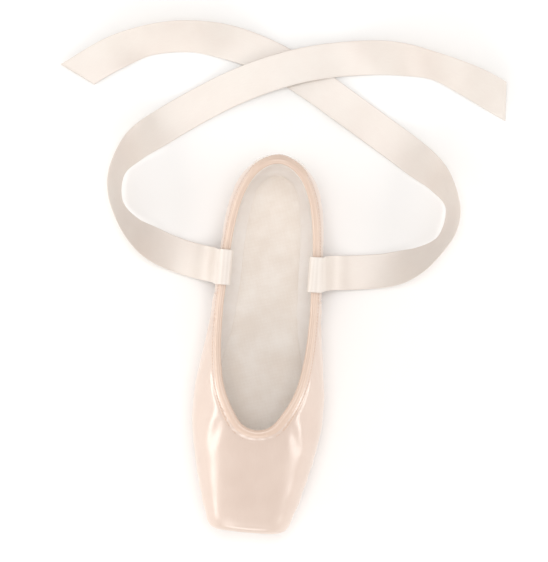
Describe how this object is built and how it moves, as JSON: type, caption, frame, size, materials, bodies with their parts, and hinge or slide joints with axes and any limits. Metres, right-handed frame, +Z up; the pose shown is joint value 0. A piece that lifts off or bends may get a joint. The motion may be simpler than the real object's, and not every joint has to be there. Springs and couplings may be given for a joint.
{
  "type": "pointe shoe",
  "caption": "Satin pointe shoe with a flat-tipped stiff box, round throat, drawstring binding, narrow stitched leather outsole and ribbons let down on the floor.",
  "frame": {"origin": "on the floor, under the middle of the shoe without its ribbons", "axes": "+X to the toe, +Y to the shoe's left side, +Z up"},
  "size_m": [0.3182, 0.285, 0.057],
  "materials": {
    "upper_satin": "satin weave, soft sheen",
    "binding_satin": "folded satin tape",
    "heel_satin": "satin tape, bright sheen",
    "ribbon_satin": "satin ribbon with woven edges",
    "lining_cloth": "plain cotton",
    "insole_cloth": "plain cotton over board",
    "thread": "twisted thread",
    "sole_leather": "grainy, matte",
    "sole_edge": "painted edge"
  },
  "bodies": {
    "root": {"outsole": "sole_leather", "upper": "upper_satin", "insole": "insole_cloth", "topline_binding": "binding_satin", "heel_strip": "heel_satin", "ribbon_tab_left": "ribbon_satin", "ribbon_tab_right": "ribbon_satin", "ribbon_left": "ribbon_satin", "ribbon_right": "ribbon_satin"}
  },
  "joints": []
}
